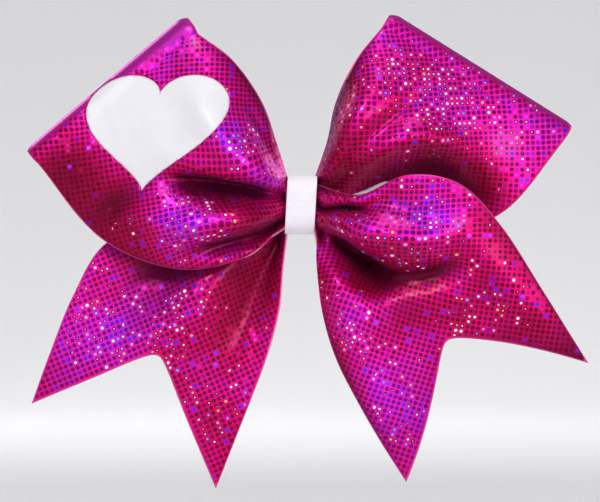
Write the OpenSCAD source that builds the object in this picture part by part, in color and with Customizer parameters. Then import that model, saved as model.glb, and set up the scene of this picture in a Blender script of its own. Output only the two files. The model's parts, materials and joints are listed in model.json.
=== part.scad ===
// Cheer hair bow: a wide ribbon of dotted fabric on a white lining, folded into two loops and two
// swallow tails, pinched at the centre by a cable tie, wrapped with a narrow ribbon and carried on
// a sprung alligator clip. +X is to the wearer's left, the bow's face looks along -Y, +Z is up, and
// the origin is the middle of the gap between the clip's jaws. Millimetres.

/* [Ribbon] */
// Width of the bow ribbon
ribbon_w = 76.2; // [70:0.1:80]
// Thickness of the dotted face fabric
face_t = 0.5; // [0.3:0.05:0.7]
// Thickness of the white lining ribbon
lining_t = 0.45; // [0.3:0.05:0.6]
// Depth of the left tail's notch, as a share of the tail's length
left_notch = 0.3; // [0.2:0.01:0.36]
// Depth of the right tail's notch, as a share of the tail's length
right_notch = 0.25; // [0.2:0.01:0.36]
// Radius of the soft turn at the end of a loop
turn_r = 6; // [5:0.5:7]
// Depth of the deepest pleat, from its middle, in the front passes
front_pleat = 4.2; // [2:0.1:4.5]
// Depth of the deepest pleat, from its middle, in the back passes
back_pleat = 1.6; // [1:0.1:2]

/* [Heart] */
// Width of the heart window
heart_w = 50; // [40:1:54]
// Thickness of the white inlay in the window
inlay_t = 0.25; // [0.2:0.05:0.3]

/* [Centre] */
// Width of the centre wrap ribbon
wrap_w = 10.5; // [9:0.5:13]
// Thickness of the centre wrap ribbon
wrap_t = 0.5; // [0.4:0.1:0.8]
// Radius of the pinched bundle's rounded ends
bundle_r = 6.2; // [6:0.1:6.4]
// Height between the centres of the bundle's rounded ends
bundle_h = 7.2; // [6:0.2:8]
// Width of the cable tie's strap
tie_w = 2.8; // [2.4:0.1:3.6]
// Thickness of the cable tie's strap
tie_t = 1; // [0.9:0.1:1.3]

/* [Clip] */
// Length of the clip's front jaw
clip_l = 46; // [40:1:50]
// Width of the clip
clip_w = 8; // [7:0.5:9]
// Thickness of the clip's sheet steel
steel_t = 0.8; // [0.6:0.1:0.9]
// Radius of the hinge pin
pin_r = 1; // [0.8:0.1:1.1]
// Radial clearance of the hinge pin in the rear jaw
pin_play = 0.05; // [0.02:0.01:0.08]
// Wire diameter of the clip's spring
spring_d = 0.7; // [0.6:0.05:0.8]

/* [Hidden] */
$fn = 64;
fabric_colour = [0.83, 0.05, 0.42];
white = [0.95, 0.95, 0.95];
steel = [0.75, 0.75, 0.78];

// The knot's middle lies this far in front of the gap between the jaws
knot_y = -12;
// Half the length of the pinched bundle, where the ribbon passes come out of it
bundle_x = 5.6;
// The bundle's middle, measured from the knot's
bundle_y = -1.3;

// ---- Curves and sheets ------------------------------------------------------------------------

function mix(a, b, f) = a + (b - a) * f;

// A smooth curve through points, u from 0 to 1
function along(points, u) =
    let (n = len(points) - 1,
         q = min(max(u, 0), 1) * n,
         i = min(floor(q), n - 1),
         f = q - i,
         b = points[i],
         c = points[i + 1],
         a = i > 0 ? points[i - 1] : 2 * b - c,
         d = i < n - 1 ? points[i + 2] : 2 * c - b)
    0.5 * (2 * b + (c - a) * f + (2 * a - 5 * b + 4 * c - d) * f * f
           + (3 * b - 3 * c + d - a) * f * f * f);

// Five straight legs of a pleat across the ribbon, t from -1 at the lower edge to 1 at the upper
pleat_legs = 5;
function zigzag(t) = cos(180 * (t + 1) * pleat_legs / 2);

// How deep the pleats are where the ribbon's edges are this far apart, so that it keeps its width
function pleat_depth(span, u, most) =
    let (knot_most = 1.5,
         spare = sqrt(max(ribbon_w * ribbon_w - span * span, 0)) / (2 * pleat_legs))
    min(spare, mix(knot_most, most, min(1, u * 5)));

// A point of a pass of ribbon between its lower and upper edge. pass is
// [lower edge, upper edge, puff towards the front, deepest pleat, drop of the lower roll, lean],
// where a lean above 0 moves the puff towards the upper edge.
function pass_point(pass, u, t) =
    let (low = along(pass[0], u),
         high = along(pass[1], u),
         span = norm([high[0] - low[0], high[2] - low[2]]),
         swell = pass[2] * sin(180 * min(1, u)) * (1 - t * t) * (1 + pass[5] * t),
         pleat = pleat_depth(span, u, abs(pass[3])) * sign(pass[3]) * zigzag(t),
         roll = pass[4] * sin(180 * min(1, u)) * max(0, 1 - pow((t + 0.5) / 0.5, 2)))
    mix(low, high, (1 + t) / 2) + [0, -swell - pleat, -roll];

columns = 15;
function across(j) = 2 * j / columns - 1;
function pass_rows(pass, from, to, rows) =
    [for (i = [0:rows]) [for (j = [0:columns]) pass_point(pass, mix(from, to, i / rows), across(j))]];

// The soft turn between a loop's front and back passes, round a straight line that runs from
// the lower corner to the upper one, with out pointing away from the knot
turn_y = 1;
turn_rows = 4;
function turn_section(corners, out) =
    [for (i = [1:turn_rows]) let (a = 180 * i / (turn_rows + 1))
        [for (j = [0:columns]) mix(corners[0], corners[1], (1 + across(j)) / 2)
            + turn_r * [out[0] * (sin(a) - 1), 0, out[1] * (sin(a) - 1)]
            + [0, turn_y - turn_r * cos(a), 0]]];

// A tail is cut back from its tips to the notch, along straight cuts that meet in a round corner
function cut_share(t, notch) =
    let (soft = 0.07) min(1, 1 - notch * (1 - sqrt(t * t + soft * soft)) / (1 - soft));
tail_rows = 22;
function tail_section(pass, notch) =
    [for (i = [0:tail_rows]) [for (j = [0:columns])
        pass_point(pass, i / tail_rows * cut_share(across(j), notch), across(j))]];

function reversed(list) = [for (i = [len(list) - 1:-1:0]) list[i]];
loop_rows = 15;
function loop_section(front, back, corners, out) =
    concat(pass_rows(front, 0, 1, loop_rows),
           turn_section(corners, out),
           reversed(pass_rows(back, 0, 1, loop_rows - 4)));

// Unit normal of a grid of points at row i, column j
function normal_at(grid, i, j) =
    let (rows = len(grid) - 1,
         du = grid[min(i + 1, rows)][j] - grid[max(i - 1, 0)][j],
         dt = grid[i][min(j + 1, columns)] - grid[i][max(j - 1, 0)],
         n = cross(du, dt))
    n / norm(n);

// A closed sheet between two distances from a grid of points, measured towards the ribbon's face.
// side is 1 on the right half of the bow and -1 on the left.
module sheet(grid, side, near, far) {
    rows = len(grid);
    cols = columns + 1;
    count = rows * cols;
    function shifted(i, j, by) =
        let (p = grid[i][j] + by * side * normal_at(grid, i, j))
        [side * (i % (rows - 1) == 0 && abs(grid[i][j][0]) < bundle_x + 0.01
                 ? bundle_x : max(bundle_x, side * p[0])), p[1], p[2]];
    points = [for (by = [near, far]) for (i = [0:rows - 1]) for (j = [0:columns]) shifted(i, j, by)];
    function at(layer, i, j) = layer * count + i * cols + j;
    function turned(f) = side > 0 ? f : [f[0], f[2], f[1]];
    skins = [for (i = [0:rows - 2]) for (j = [0:columns - 1])
        for (f = [[at(1, i, j), at(1, i, j + 1), at(1, i + 1, j)],
                  [at(1, i, j + 1), at(1, i + 1, j + 1), at(1, i + 1, j)],
                  [at(0, i, j), at(0, i + 1, j), at(0, i, j + 1)],
                  [at(0, i, j + 1), at(0, i + 1, j), at(0, i + 1, j + 1)]]) f];
    ends = [for (i = [0:rows - 2])
        for (f = [[at(0, i, 0), at(1, i, 0), at(0, i + 1, 0)],
                  [at(1, i, 0), at(1, i + 1, 0), at(0, i + 1, 0)],
                  [at(0, i, columns), at(0, i + 1, columns), at(1, i, columns)],
                  [at(1, i, columns), at(0, i + 1, columns), at(1, i + 1, columns)]]) f];
    sides = [for (j = [0:columns - 1])
        for (f = [[at(0, 0, j), at(0, 0, j + 1), at(1, 0, j)],
                  [at(1, 0, j), at(0, 0, j + 1), at(1, 0, j + 1)],
                  [at(0, rows - 1, j), at(1, rows - 1, j), at(0, rows - 1, j + 1)],
                  [at(1, rows - 1, j), at(1, rows - 1, j + 1), at(0, rows - 1, j + 1)]]) f];
    translate([0, knot_y, 0])
        polyhedron(points = points, faces = [for (f = concat(skins, ends, sides)) turned(f)]);
}

// ---- The ribbon's passes, as points of their lower and upper edges, from the knot's middle ------

left_corners = [[-97, 0, 19.5], [-41, 0, 66]];
left_out = [-0.64, 0.77];
left_front = [
    [[-5.6, -5.6, -9.5], [-22, -9, -19], [-45, -8, -23], [-71, -8, -11], [-93, -5, 15]],
    [[-5.6, -5.6, 9], [-9, -7, 22], [-14, -8, 36], [-24, -8, 50.5], [-37.2, -5, 61.4]],
    13, front_pleat, 5, 0.4];
left_back = [
    [[-5.6, 3, -9.5], [-26, 5, -5], [-48, 6, 1], [-71, 7, 8], [-93, 7, 15]],
    [[-5.6, 3, 9], [-10, 9, 22], [-15, 17, 36], [-24, 16, 50], [-37.2, 7, 61.4]],
    0, -back_pleat, 0, 0];

right_corners = [[96, 0, 28], [32, 0, 68]];
right_out = [0.53, 0.848];
right_front = [
    [[5.6, -1.3, -9.5], [27, -3, -10], [50, -4, -11], [72, -6, -2], [92.8, -5, 23]],
    [[5.6, -1.3, 9], [9.5, -5, 22], [12.6, -8, 36], [19, -9, 50], [28.8, -5, 63]],
    12, back_pleat, 0, 0.9];
right_back = [
    [[5.6, 3, -9.5], [27, 5, -4], [50, 6, 3], [72, 7, 12], [92.8, 7, 23]],
    [[5.6, 3, 9], [10, 9, 22], [13, 17, 36], [19.5, 16, 50], [28.8, 7, 63]],
    0, -back_pleat, 0, 0];

left_tail = [
    [[-5.6, -1.3, -9.5], [-6.3, -4, -23], [-7.6, -5, -37], [-11.5, -5, -52], [-17, -4, -67],
     [-23.5, -3, -83.5], [-30, -2, -100]],
    [[-5.6, -1.3, 9], [-28, 0, 4], [-50, 0, -3], [-69.5, -1, -14], [-80.5, -2, -32],
     [-88.5, -3, -52], [-95, -3, -70]],
    0, back_pleat, 0, 0];
right_tail = [
    [[5.6, -5.6, -9.5], [6, -10, -24], [8, -12, -39], [12.5, -11, -54], [20, -9, -69],
     [28.5, -6, -84], [37, -5, -97.5]],
    [[5.6, -5.6, 8], [20, -15, 3], [37, -23, 10], [55, -24, 7], [70, -19, -8],
     [85, -13, -31], [101, -7, -55.5]],
    3, -front_pleat, 0, 0.4];

left_loop_grid = loop_section(left_front, left_back, left_corners, left_out);
right_loop_grid = loop_section(right_front, right_back, right_corners, right_out);
left_tail_grid = tail_section(left_tail, left_notch);
right_tail_grid = tail_section(right_tail, right_notch);

// ---- The heart window -----------------------------------------------------------------------

heart_at = [-52.5, 29.5];
heart_tilt = -10.5;
// The ribbon's swell lifts the right lobe, by this much for each unit sideways
heart_skew = 0.18;
heart_steps = 48;
// A heart of width 2, clockwise from the cleft between its lobes
heart_outline = [for (i = [0:heart_steps - 1])
    let (a = 360 * i / heart_steps, x = pow(sin(a), 3))
    [x, (13 * cos(a) - 4 * cos(2 * a) - 1.6 * cos(3 * a) - 0.6 * cos(4 * a)) / 16 + heart_skew * x]];

// A heart-shaped cutter through the front of the left loop only
module heart_cutter(gap) {
    reach = 40;
    translate([heart_at[0], knot_y + turn_y, heart_at[1]])
        rotate([90, 0, 0])
            linear_extrude(reach)
                rotate(heart_tilt)
                    scale(heart_w / 2 - gap)
                        polygon(heart_outline);
}

// ---- Soft parts -------------------------------------------------------------------------------

module left_loop_face() {
    color(fabric_colour)
        difference() {
            sheet(left_loop_grid, -1, 0, face_t);
            heart_cutter(0);
        }
}
module left_loop_lining() {
    color(white) sheet(left_loop_grid, -1, -lining_t, 0);
}
module right_loop_face() {
    color(fabric_colour) sheet(right_loop_grid, 1, 0, face_t);
}
module right_loop_lining() {
    color(white) sheet(right_loop_grid, 1, -lining_t, 0);
}
module left_tail_face() {
    color(fabric_colour) sheet(left_tail_grid, -1, 0, face_t);
}
module left_tail_lining() {
    color(white) sheet(left_tail_grid, -1, -lining_t, 0);
}
module right_tail_face() {
    color(fabric_colour) sheet(right_tail_grid, 1, 0, face_t);
}
module right_tail_lining() {
    color(white) sheet(right_tail_grid, 1, -lining_t, 0);
}
// White sheet that fills the heart window, thinner than the face fabric so that it lies sunk in it
module heart_inlay() {
    edge_gap = 0.1;
    color(white)
        intersection() {
            sheet(left_loop_grid, -1, 0, inlay_t);
            heart_cutter(edge_gap);
        }
}

// ---- Centre -------------------------------------------------------------------------------------

// A bar along X with a stadium section, as wide as the pinched bundle where grow is 0
module stadium_bar(length, grow) {
    r = bundle_r + grow;
    translate([0, knot_y + bundle_y, 0])
        rotate([0, 90, 0]) {
            for (side = [-1, 1])
                translate([side * bundle_h / 2, 0, 0]) cylinder(r = r, h = length, center = true);
            cube([bundle_h, 2 * r, length], center = true);
        }
}

tie_head = [4.6, 3, 4.4];
back_y = knot_y + bundle_y + bundle_r;

// The three pleated passes of the ribbon where the tie squeezes them, with the tie's groove
module pinched_centre() {
    color(fabric_colour)
        difference() {
            stadium_bar(2 * bundle_x, 0);
            difference() {
                stadium_bar(tie_w, 1);
                stadium_bar(tie_w + 1, -tie_t);
            }
        }
}

// Nylon cable tie: its strap lies flush in the groove, and its head lies behind the bundle
module cable_tie() {
    stub = 1.2;
    slot = [1.5, 1.3];
    color([0.93, 0.93, 0.9])
        difference() {
            union() {
                difference() {
                    stadium_bar(tie_w, 0);
                    stadium_bar(tie_w + 1, -tie_t);
                }
                translate([-tie_head[0] / 2, back_y, -tie_head[2] / 2]) cube(tie_head);
                translate([-tie_w / 2, back_y + tie_head[1] / 2 - tie_t / 2, tie_head[2] / 2])
                    cube([tie_w, tie_t, stub]);
            }
            for (end = [-1, 1])
                translate([-slot[0] / 2, back_y + tie_head[1] / 2 + 0.5, end * tie_head[2] / 2 - 0.5])
                    cube([slot[0], slot[1] / 2, 1]);
        }
}

jaw_front_y = back_y + tie_head[1] + 0.3;
jaw_rear_y = jaw_front_y + steel_t;

// Outline of everything inside the wrap, seen along X, grown by a distance
wrap_gap = 0.05;
module wrap_outline(grow) {
    offset(r = wrap_gap + grow, $fn = 48)
        hull() {
            for (side = [-1, 1])
                translate([knot_y + bundle_y, side * bundle_h / 2]) circle(r = bundle_r, $fn = 72);
            translate([jaw_rear_y - 1, -clip_w / 2]) square([1, clip_w]);
        }
}

// Narrow ribbon wound round the knot and the clip's front jaw, its end lapped behind
module centre_wrap() {
    lap = 7;
    at_x = -wrap_w / 2;
    color(white)
        translate([at_x, 0, 0])
            rotate([90, 0, 90]) {
                linear_extrude(wrap_w)
                    difference() {
                        wrap_outline(wrap_t);
                        wrap_outline(0);
                    }
                translate([0, 0, 0.3])
                    linear_extrude(wrap_w - 0.6)
                        translate([jaw_rear_y + wrap_gap + wrap_t, -lap / 2]) square([wrap_t * 0.6, lap]);
            }
}

// Hot-melt glue between the bundle, the tie's head and the clip's front jaw
module glue_pad() {
    height = 7;
    color([0.9, 0.88, 0.8])
        difference() {
            translate([-wrap_w / 2 + 1, back_y, -height / 2])
                cube([wrap_w - 2, jaw_front_y - back_y, height]);
            translate([-tie_head[0] / 2, back_y - 1, -height])
                cube([tie_head[0], tie_head[1] + 1, 2 * height]);
        }
}

// ---- Clip ---------------------------------------------------------------------------------------

// The hinge pin's axis, in X and Y
pivot = [-9, jaw_rear_y + 3.1];
ear_reach = 2.2;
ear_gap = 0.1;
front_ear_z = clip_w / 2 - steel_t;
rear_ear_z = front_ear_z - ear_gap;
// The rear jaw's strip passes this far behind the pin's axis, clear of the spring's coils
strip_over = 2.6;
lever_end = [pivot[0] - 13, pivot[1] + 6.4];
tip_x = clip_l / 2 - 1;
tooth_gap = 0.3;

// A plate in the X-Y plane that stands between two heights
module upright(low, high) {
    translate([0, 0, low]) linear_extrude(high - low) children();
}

// A pair of plates, thick = steel_t, whose outer faces are at plus and minus outer
module ear_pair(outer) {
    upright(outer - steel_t, outer) children();
    upright(-outer, steel_t - outer) children();
}

// An ear: a round tab about the pivot, joined to the sheet that it is bent from
module ear_outline(root_y) {
    translate(pivot) circle(r = ear_reach);
    translate([pivot[0] - ear_reach, min(root_y, pivot[1])])
        square([2 * ear_reach, abs(pivot[1] - root_y)]);
}

// The front jaw's flat bar with round ends, seen along Y
module bar_outline() {
    square([clip_l - clip_w, clip_w], center = true);
    for (end = [-1, 1])
        translate([end * (clip_l - clip_w) / 2, 0]) circle(d = clip_w);
}

// Fixed jaw: a flat bar with two ears for the pin and a row of teeth at the tip
module clip_front_jaw() {
    tooth = 0.5;
    teeth = 5;
    pitch = 1.1;
    color(steel)
        difference() {
            union() {
                translate([0, jaw_rear_y, 0])
                    rotate([90, 0, 0])
                        linear_extrude(steel_t) bar_outline();
                ear_pair(front_ear_z + steel_t) ear_outline(jaw_rear_y - steel_t / 2);
            }
            translate([pivot[0], pivot[1], -clip_w]) cylinder(r = pin_r, h = 2 * clip_w);
            for (i = [0:teeth - 1])
                translate([tip_x - 1 - i * pitch, jaw_rear_y, 0])
                    rotate(45) cube([tooth, tooth, 2 * clip_w], center = true);
        }
}

// Centre line of the rear jaw's strip: lever, flat over the pin, arched prong
strip_line = [lever_end, pivot + [-3, strip_over], pivot + [3, strip_over], [6, pivot[1] + 2.9],
              [16, pivot[1] + 1.2], [tip_x, jaw_rear_y + tooth_gap + steel_t / 2]];
module strip_outline() {
    for (i = [0:len(strip_line) - 2])
        hull()
            for (end = [strip_line[i], strip_line[i + 1]])
                translate(end) circle(d = steel_t, $fn = 20);
}

// Sprung jaw: one bent strip with its own pair of ears inside the front jaw's
module clip_rear_jaw() {
    color(steel)
        difference() {
            union() {
                upright(-rear_ear_z, rear_ear_z) strip_outline();
                ear_pair(rear_ear_z) ear_outline(pivot[1] + strip_over);
            }
            translate([pivot[0], pivot[1], -clip_w]) cylinder(r = pin_r + pin_play, h = 2 * clip_w);
        }
}

// Pin with a formed head at each end, fast in the front jaw's ears
module clip_hinge_pin() {
    head_t = 0.5;
    color(steel) {
        translate([pivot[0], pivot[1], -clip_w / 2]) cylinder(r = pin_r, h = clip_w);
        for (side = [-1, 1])
            translate([pivot[0], pivot[1], side * (clip_w / 2 + head_t / 2)])
                cylinder(r = pin_r + 0.5, h = head_t, center = true);
    }
}

// Torsion spring's wire: a leg against the front jaw, the coils round the pin, and a leg
// against the lever, which the coils push away from the front jaw
coil_turns = 3.5;
coil_r = pin_r + 0.15 + spring_d / 2;
coil_pitch = spring_d + 0.08;
coil_steps = 70;
function coil_point(f) =
    let (a = -90 + 360 * coil_turns * f)
    [pivot[0] + coil_r * cos(a), pivot[1] + coil_r * sin(a), coil_pitch * coil_turns * (f - 0.5)];
leg_z = coil_pitch * coil_turns / 2;
spring_line = concat(
    [[pivot[0] - 8, pivot[1] - 2.7, -leg_z], [pivot[0] - 3, pivot[1] - coil_r - 0.1, -leg_z]],
    [for (i = [0:coil_steps]) coil_point(i / coil_steps)],
    [[pivot[0] - 3.6, pivot[1] + coil_r + 0.1, leg_z], [pivot[0] - 9, pivot[1] + 4, leg_z]]);

// A round wire swept along a line that runs nearly level
module wire(line, diameter, sides) {
    last = len(line) - 1;
    function ring(i) =
        let (ahead = line[min(i + 1, last)] - line[max(i - 1, 0)],
             along_it = ahead / norm(ahead),
             up = [0, 0, 1] - along_it[2] * along_it,
             e = up / norm(up),
             f = cross(along_it, e))
        [for (k = [0:sides - 1])
            line[i] + diameter / 2 * (cos(360 * k / sides) * e + sin(360 * k / sides) * f)];
    points = [for (i = [0:last]) each ring(i)];
    walls = [for (i = [0:last - 1]) for (k = [0:sides - 1])
        let (a = i * sides + k, b = i * sides + (k + 1) % sides)
        for (face = [[a, a + sides, b], [b, a + sides, b + sides]]) face];
    caps = [for (k = [1:sides - 2])
        for (face = [[0, k, k + 1], [last * sides, last * sides + k + 1, last * sides + k]]) face];
    polyhedron(points = points, faces = concat(walls, caps));
}

module clip_spring() {
    color([0.6, 0.6, 0.63]) wire(spring_line, spring_d, 8);
}

left_loop_face();
left_loop_lining();
right_loop_face();
right_loop_lining();
left_tail_face();
left_tail_lining();
right_tail_face();
right_tail_lining();
heart_inlay();
pinched_centre();
cable_tie();
centre_wrap();
glue_pad();
clip_front_jaw();
clip_rear_jaw();
clip_hinge_pin();
clip_spring();
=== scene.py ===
"""Cheer hair bow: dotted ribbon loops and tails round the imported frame. Lengths in the geometry are
millimetres, turned into metres when a mesh is made. +X right, -Y out of the bow's face, +Z up."""
import json
import math
import bmesh
import bpy
import numpy as np
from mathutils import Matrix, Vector


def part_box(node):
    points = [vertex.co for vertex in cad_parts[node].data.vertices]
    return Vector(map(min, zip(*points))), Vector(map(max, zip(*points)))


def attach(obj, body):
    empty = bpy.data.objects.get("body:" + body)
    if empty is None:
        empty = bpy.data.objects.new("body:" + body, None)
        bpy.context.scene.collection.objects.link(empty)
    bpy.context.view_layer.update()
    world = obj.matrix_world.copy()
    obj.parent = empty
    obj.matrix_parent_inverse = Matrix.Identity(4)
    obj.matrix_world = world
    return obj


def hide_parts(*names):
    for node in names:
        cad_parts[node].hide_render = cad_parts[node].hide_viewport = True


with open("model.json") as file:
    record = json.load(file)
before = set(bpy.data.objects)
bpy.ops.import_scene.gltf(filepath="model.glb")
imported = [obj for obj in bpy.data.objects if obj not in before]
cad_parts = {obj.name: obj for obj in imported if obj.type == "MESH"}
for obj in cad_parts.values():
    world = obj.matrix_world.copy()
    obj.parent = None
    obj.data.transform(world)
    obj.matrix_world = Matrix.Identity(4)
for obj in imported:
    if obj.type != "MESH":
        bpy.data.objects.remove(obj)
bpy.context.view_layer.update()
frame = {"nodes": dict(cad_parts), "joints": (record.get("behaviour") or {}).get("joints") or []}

MM = 0.001
core_low, core_high = (np.array(corner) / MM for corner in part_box("pinched_centre"))
wrap_low, wrap_high = (np.array(corner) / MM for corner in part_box("centre_wrap"))
jaw_low, jaw_high = (np.array(corner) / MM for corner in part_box("clip_front_jaw"))
CORE_Y = (core_low[1] + core_high[1]) / 2
KNOT_Y = CORE_Y + 1.3
CORE_R = (core_high[1] - core_low[1]) / 2
CORE_HALF = core_high[2] - CORE_R

FACE_T = 0.5
LINING_T = 0.45
COLUMNS = 72


def placed(name, data):
    """A new object, linked into the scene."""
    obj = bpy.data.objects.new(name, data)
    bpy.context.collection.objects.link(obj)
    return obj


def new_mesh(name, points, faces, rounded=True):
    mesh = bpy.data.meshes.new(name)
    mesh.from_pydata(points, [], faces)
    mesh.polygons.foreach_set("use_smooth", [rounded] * len(mesh.polygons))
    return mesh


# ---- Camera: straight in front, the bow filling the picture ----

def make_camera():
    view_w = 211.3 * MM
    distance = 1.2
    sensor = 36.0
    middle = (-0.35 * MM, -17 * MM, -16.2 * MM)
    data = bpy.data.cameras.new("camera")
    data.sensor_width = sensor
    data.lens = sensor * distance / view_w
    data.clip_end = 20
    camera = placed("camera", data)
    camera.location = (middle[0], middle[1] - distance, middle[2])
    camera.rotation_euler = (math.pi / 2, 0, 0)
    bpy.context.scene.camera = camera


# ---- Curves and sheets ----

def along(points, u):
    """Smooth curve through points at each u from 0 to 1. A point may itself be a row of points."""
    p = np.asarray(points, float)
    last = len(p) - 1
    p = np.concatenate([[2 * p[0] - p[1]], p, [2 * p[-1] - p[-2]]])
    q = np.clip(u, 0, 1) * last
    i = np.minimum(q.astype(int), last - 1)
    f = (q - i).reshape(q.shape + (1,) * (p.ndim - 1))
    a, b, c, d = p[i], p[i + 1], p[i + 2], p[i + 3]
    return 0.5 * (2 * b + (c - a) * f + (2 * a - 5 * b + 4 * c - d) * f ** 2
                  + (3 * b - 3 * c + d - a) * f ** 3)


def smooth(x, low, high):
    """0 below low, 1 above high, smooth between them."""
    f = np.clip((x - low) / (high - low), 0, 1)
    return f * f * (3 - 2 * f)


# The pleats at the knot, the ripples that run out of them, and the shares of a pass they take up.
PLEAT_LEGS = 5
PLEAT_REACH = 0.12
PLEAT_FADE = (0.3, 0.95)
RIPPLE = 0.5
RIPPLE_TURNS = 4.6
RIPPLE_REACH = 0.28


def zigzag(t):
    """Rounded pleats with five legs, 1 at the ribbon's lower edge and -1 at its upper."""
    return np.cos(math.pi * (t + 1) * PLEAT_LEGS / 2)


def stroke(x, z, line, width, near_end):
    """How strongly a fold acts at each point: 1 on its line of (x, z) points, tapering to nothing at
    its far end and at its near end if asked."""
    s = np.linspace(0, 1, 41)
    track = along(line, s)
    taper = (1 - smooth(s, 0.55, 1.0)) * (near_end + (1 - near_end) * smooth(s, 0.0, 0.4))
    reach = np.zeros_like(x)
    for point, share in zip(track, taper):
        gap = (x - point[0]) ** 2 + (z - point[1]) ** 2
        reach = np.maximum(reach, share * np.exp(-gap / width ** 2))
    return reach


SOFT_CORNER = 0.91


def corner_inset(t, upper, lower):
    """How far a loop's end is pulled in near the ribbon's two edges, so that its corners are soft."""
    near_upper, near_lower = (np.clip((edge - SOFT_CORNER) / (1 - SOFT_CORNER), 0, 1) ** 2
                              for edge in (t, -t))
    return upper * near_upper + lower * near_lower


def pass_points(part, u, t):
    """Points of one pass of the ribbon: u along it from the knot, t across it from -1 to 1."""
    low = along(part["lower"], u)
    high = along(part["upper"], u)
    points = low + (high - low) * ((1 + t) / 2)[..., None]
    arch = np.sin(math.pi * np.clip(u, 0, 1))
    swell = part["swell"] * arch * (1 - t * t) * (1 + part["lean"] * t)
    near = np.exp(-(u / PLEAT_REACH) ** 2)
    far_pleat = part["pleat"] * (1 - near) * (1 - smooth(u, *PLEAT_FADE))
    pleat = (part["knot_pleat"] * near + far_pleat) * zigzag(t)
    ripple = np.sin(RIPPLE_TURNS * math.pi * t + 1 + 2 * u)
    pleat += RIPPLE * (1 - near) * np.exp(-u / RIPPLE_REACH) * ripple
    roll = part["roll"] * arch * np.maximum(0, 1 - ((t + 0.5) / 0.5) ** 2)
    points[..., 1] -= swell + pleat
    points[..., 2] -= roll
    if "end" in part:
        out, upper, lower = part["end"]
        inset = corner_inset(t, upper, lower) * smooth(u, 0.75, 1.0)
        points[..., 0] -= out[0] * inset
        points[..., 2] -= out[1] * inset
    x, z = points[..., 0].copy(), points[..., 2].copy()
    for line, height, width, near_end, *slip in part["folds"]:
        reach = stroke(x, z, line, width, near_end) * smooth(u, 0, 0.1)
        points[..., 1] -= height * reach
        if slip:
            points[..., 0] += slip[0][0] * reach
            points[..., 2] += slip[0][1] * reach
    return points


def grid_of(part, u_rows, notch=None):
    u, t = np.meshgrid(u_rows, np.linspace(-1, 1, COLUMNS + 1), indexing="ij")
    if notch is not None:
        u = u * cut_share(t, notch)
    return pass_points(part, u, t)


NOTCH_ROUNDING = 0.07


def cut_share(t, notch):
    """A swallow tail: how much of the tail's length is left at each place across it."""
    soft = NOTCH_ROUNDING
    return np.minimum(1, 1 - notch * (1 - np.sqrt(t * t + soft * soft)) / (1 - soft))


TURN_R = 6.0
TURN_Y = 1.0
TURN_ROWS = 9


def turn_grid(corners, end, rows=TURN_ROWS):
    """The soft half-turn at the end of a loop."""
    out, upper, lower = end
    t = np.linspace(-1, 1, COLUMNS + 1)
    line = np.array(corners[0]) + (np.array(corners[1]) - corners[0]) * ((1 + t) / 2)[:, None]
    line -= corner_inset(t, upper, lower)[:, None] * np.array([out[0], 0, out[1]])
    grid = []
    for i in range(1, rows + 1):
        angle = math.pi * i / (rows + 1)
        bulge = TURN_R * (math.sin(angle) - 1)
        grid.append(line + np.array([out[0] * bulge, TURN_Y - TURN_R * math.cos(angle), out[1] * bulge]))
    return np.array(grid)


def normals(grid):
    du = np.gradient(grid, axis=0)
    dt = np.gradient(grid, axis=1)
    n = np.cross(du, dt)
    return n / np.linalg.norm(n, axis=-1, keepdims=True)


def arc(grid, axis):
    """Distance along the grid's lines from their first point."""
    steps = np.linalg.norm(np.diff(grid, axis=axis), axis=-1)
    total = np.cumsum(steps, axis=axis)
    pad = [(0, 0), (0, 0)]
    pad[axis] = (1, 0)
    return np.pad(total, pad)


def sheet_mesh(name, grid, side, near, far, extras):
    """A closed sheet between two distances from grid, measured towards the ribbon's face."""
    rows, cols = grid.shape[:2]
    n = side * normals(grid)
    layers = [grid + near * n, grid + far * n]
    for layer in layers:
        layer[0, :, 0] = grid[0, :, 0]
    points = np.concatenate([layer.reshape(-1, 3) for layer in layers])
    points = (points + [0, KNOT_Y, 0]) * MM
    count = rows * cols
    faces = []
    for i in range(rows - 1):
        for j in range(cols - 1):
            a, b, c, d = i * cols + j, i * cols + j + 1, (i + 1) * cols + j + 1, (i + 1) * cols + j
            faces.append([count + a, count + b, count + c, count + d])
            faces.append([d, c, b, a])
    rim = [(0, j) for j in range(cols)] + [(i, cols - 1) for i in range(1, rows)]
    rim += [(rows - 1, j) for j in range(cols - 2, -1, -1)] + [(i, 0) for i in range(rows - 2, 0, -1)]
    for k, (i, j) in enumerate(rim):
        p, q = rim[k], rim[(k + 1) % len(rim)]
        a, b = p[0] * cols + p[1], q[0] * cols + q[1]
        faces.append([a, b, count + b, count + a])
    if side > 0:
        faces = [face[::-1] for face in faces]
    mesh = new_mesh(name, points.tolist(), faces)
    for key, values in extras.items():
        attribute = mesh.attributes.new(key, "FLOAT", "POINT")
        attribute.data.foreach_set("value", np.tile(values.reshape(-1), 2).astype(np.float32))
    mesh.update()
    mesh.validate()
    return placed(name, mesh)


FLAT_STEPS = 400
FLAT_CELL = 4


def resample(grid, rows, cols):
    grid = along(grid, np.linspace(0, 1, rows))
    grid = along(np.swapaxes(grid, 0, 1), np.linspace(0, 1, cols))
    return np.swapaxes(grid, 0, 1)


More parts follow.
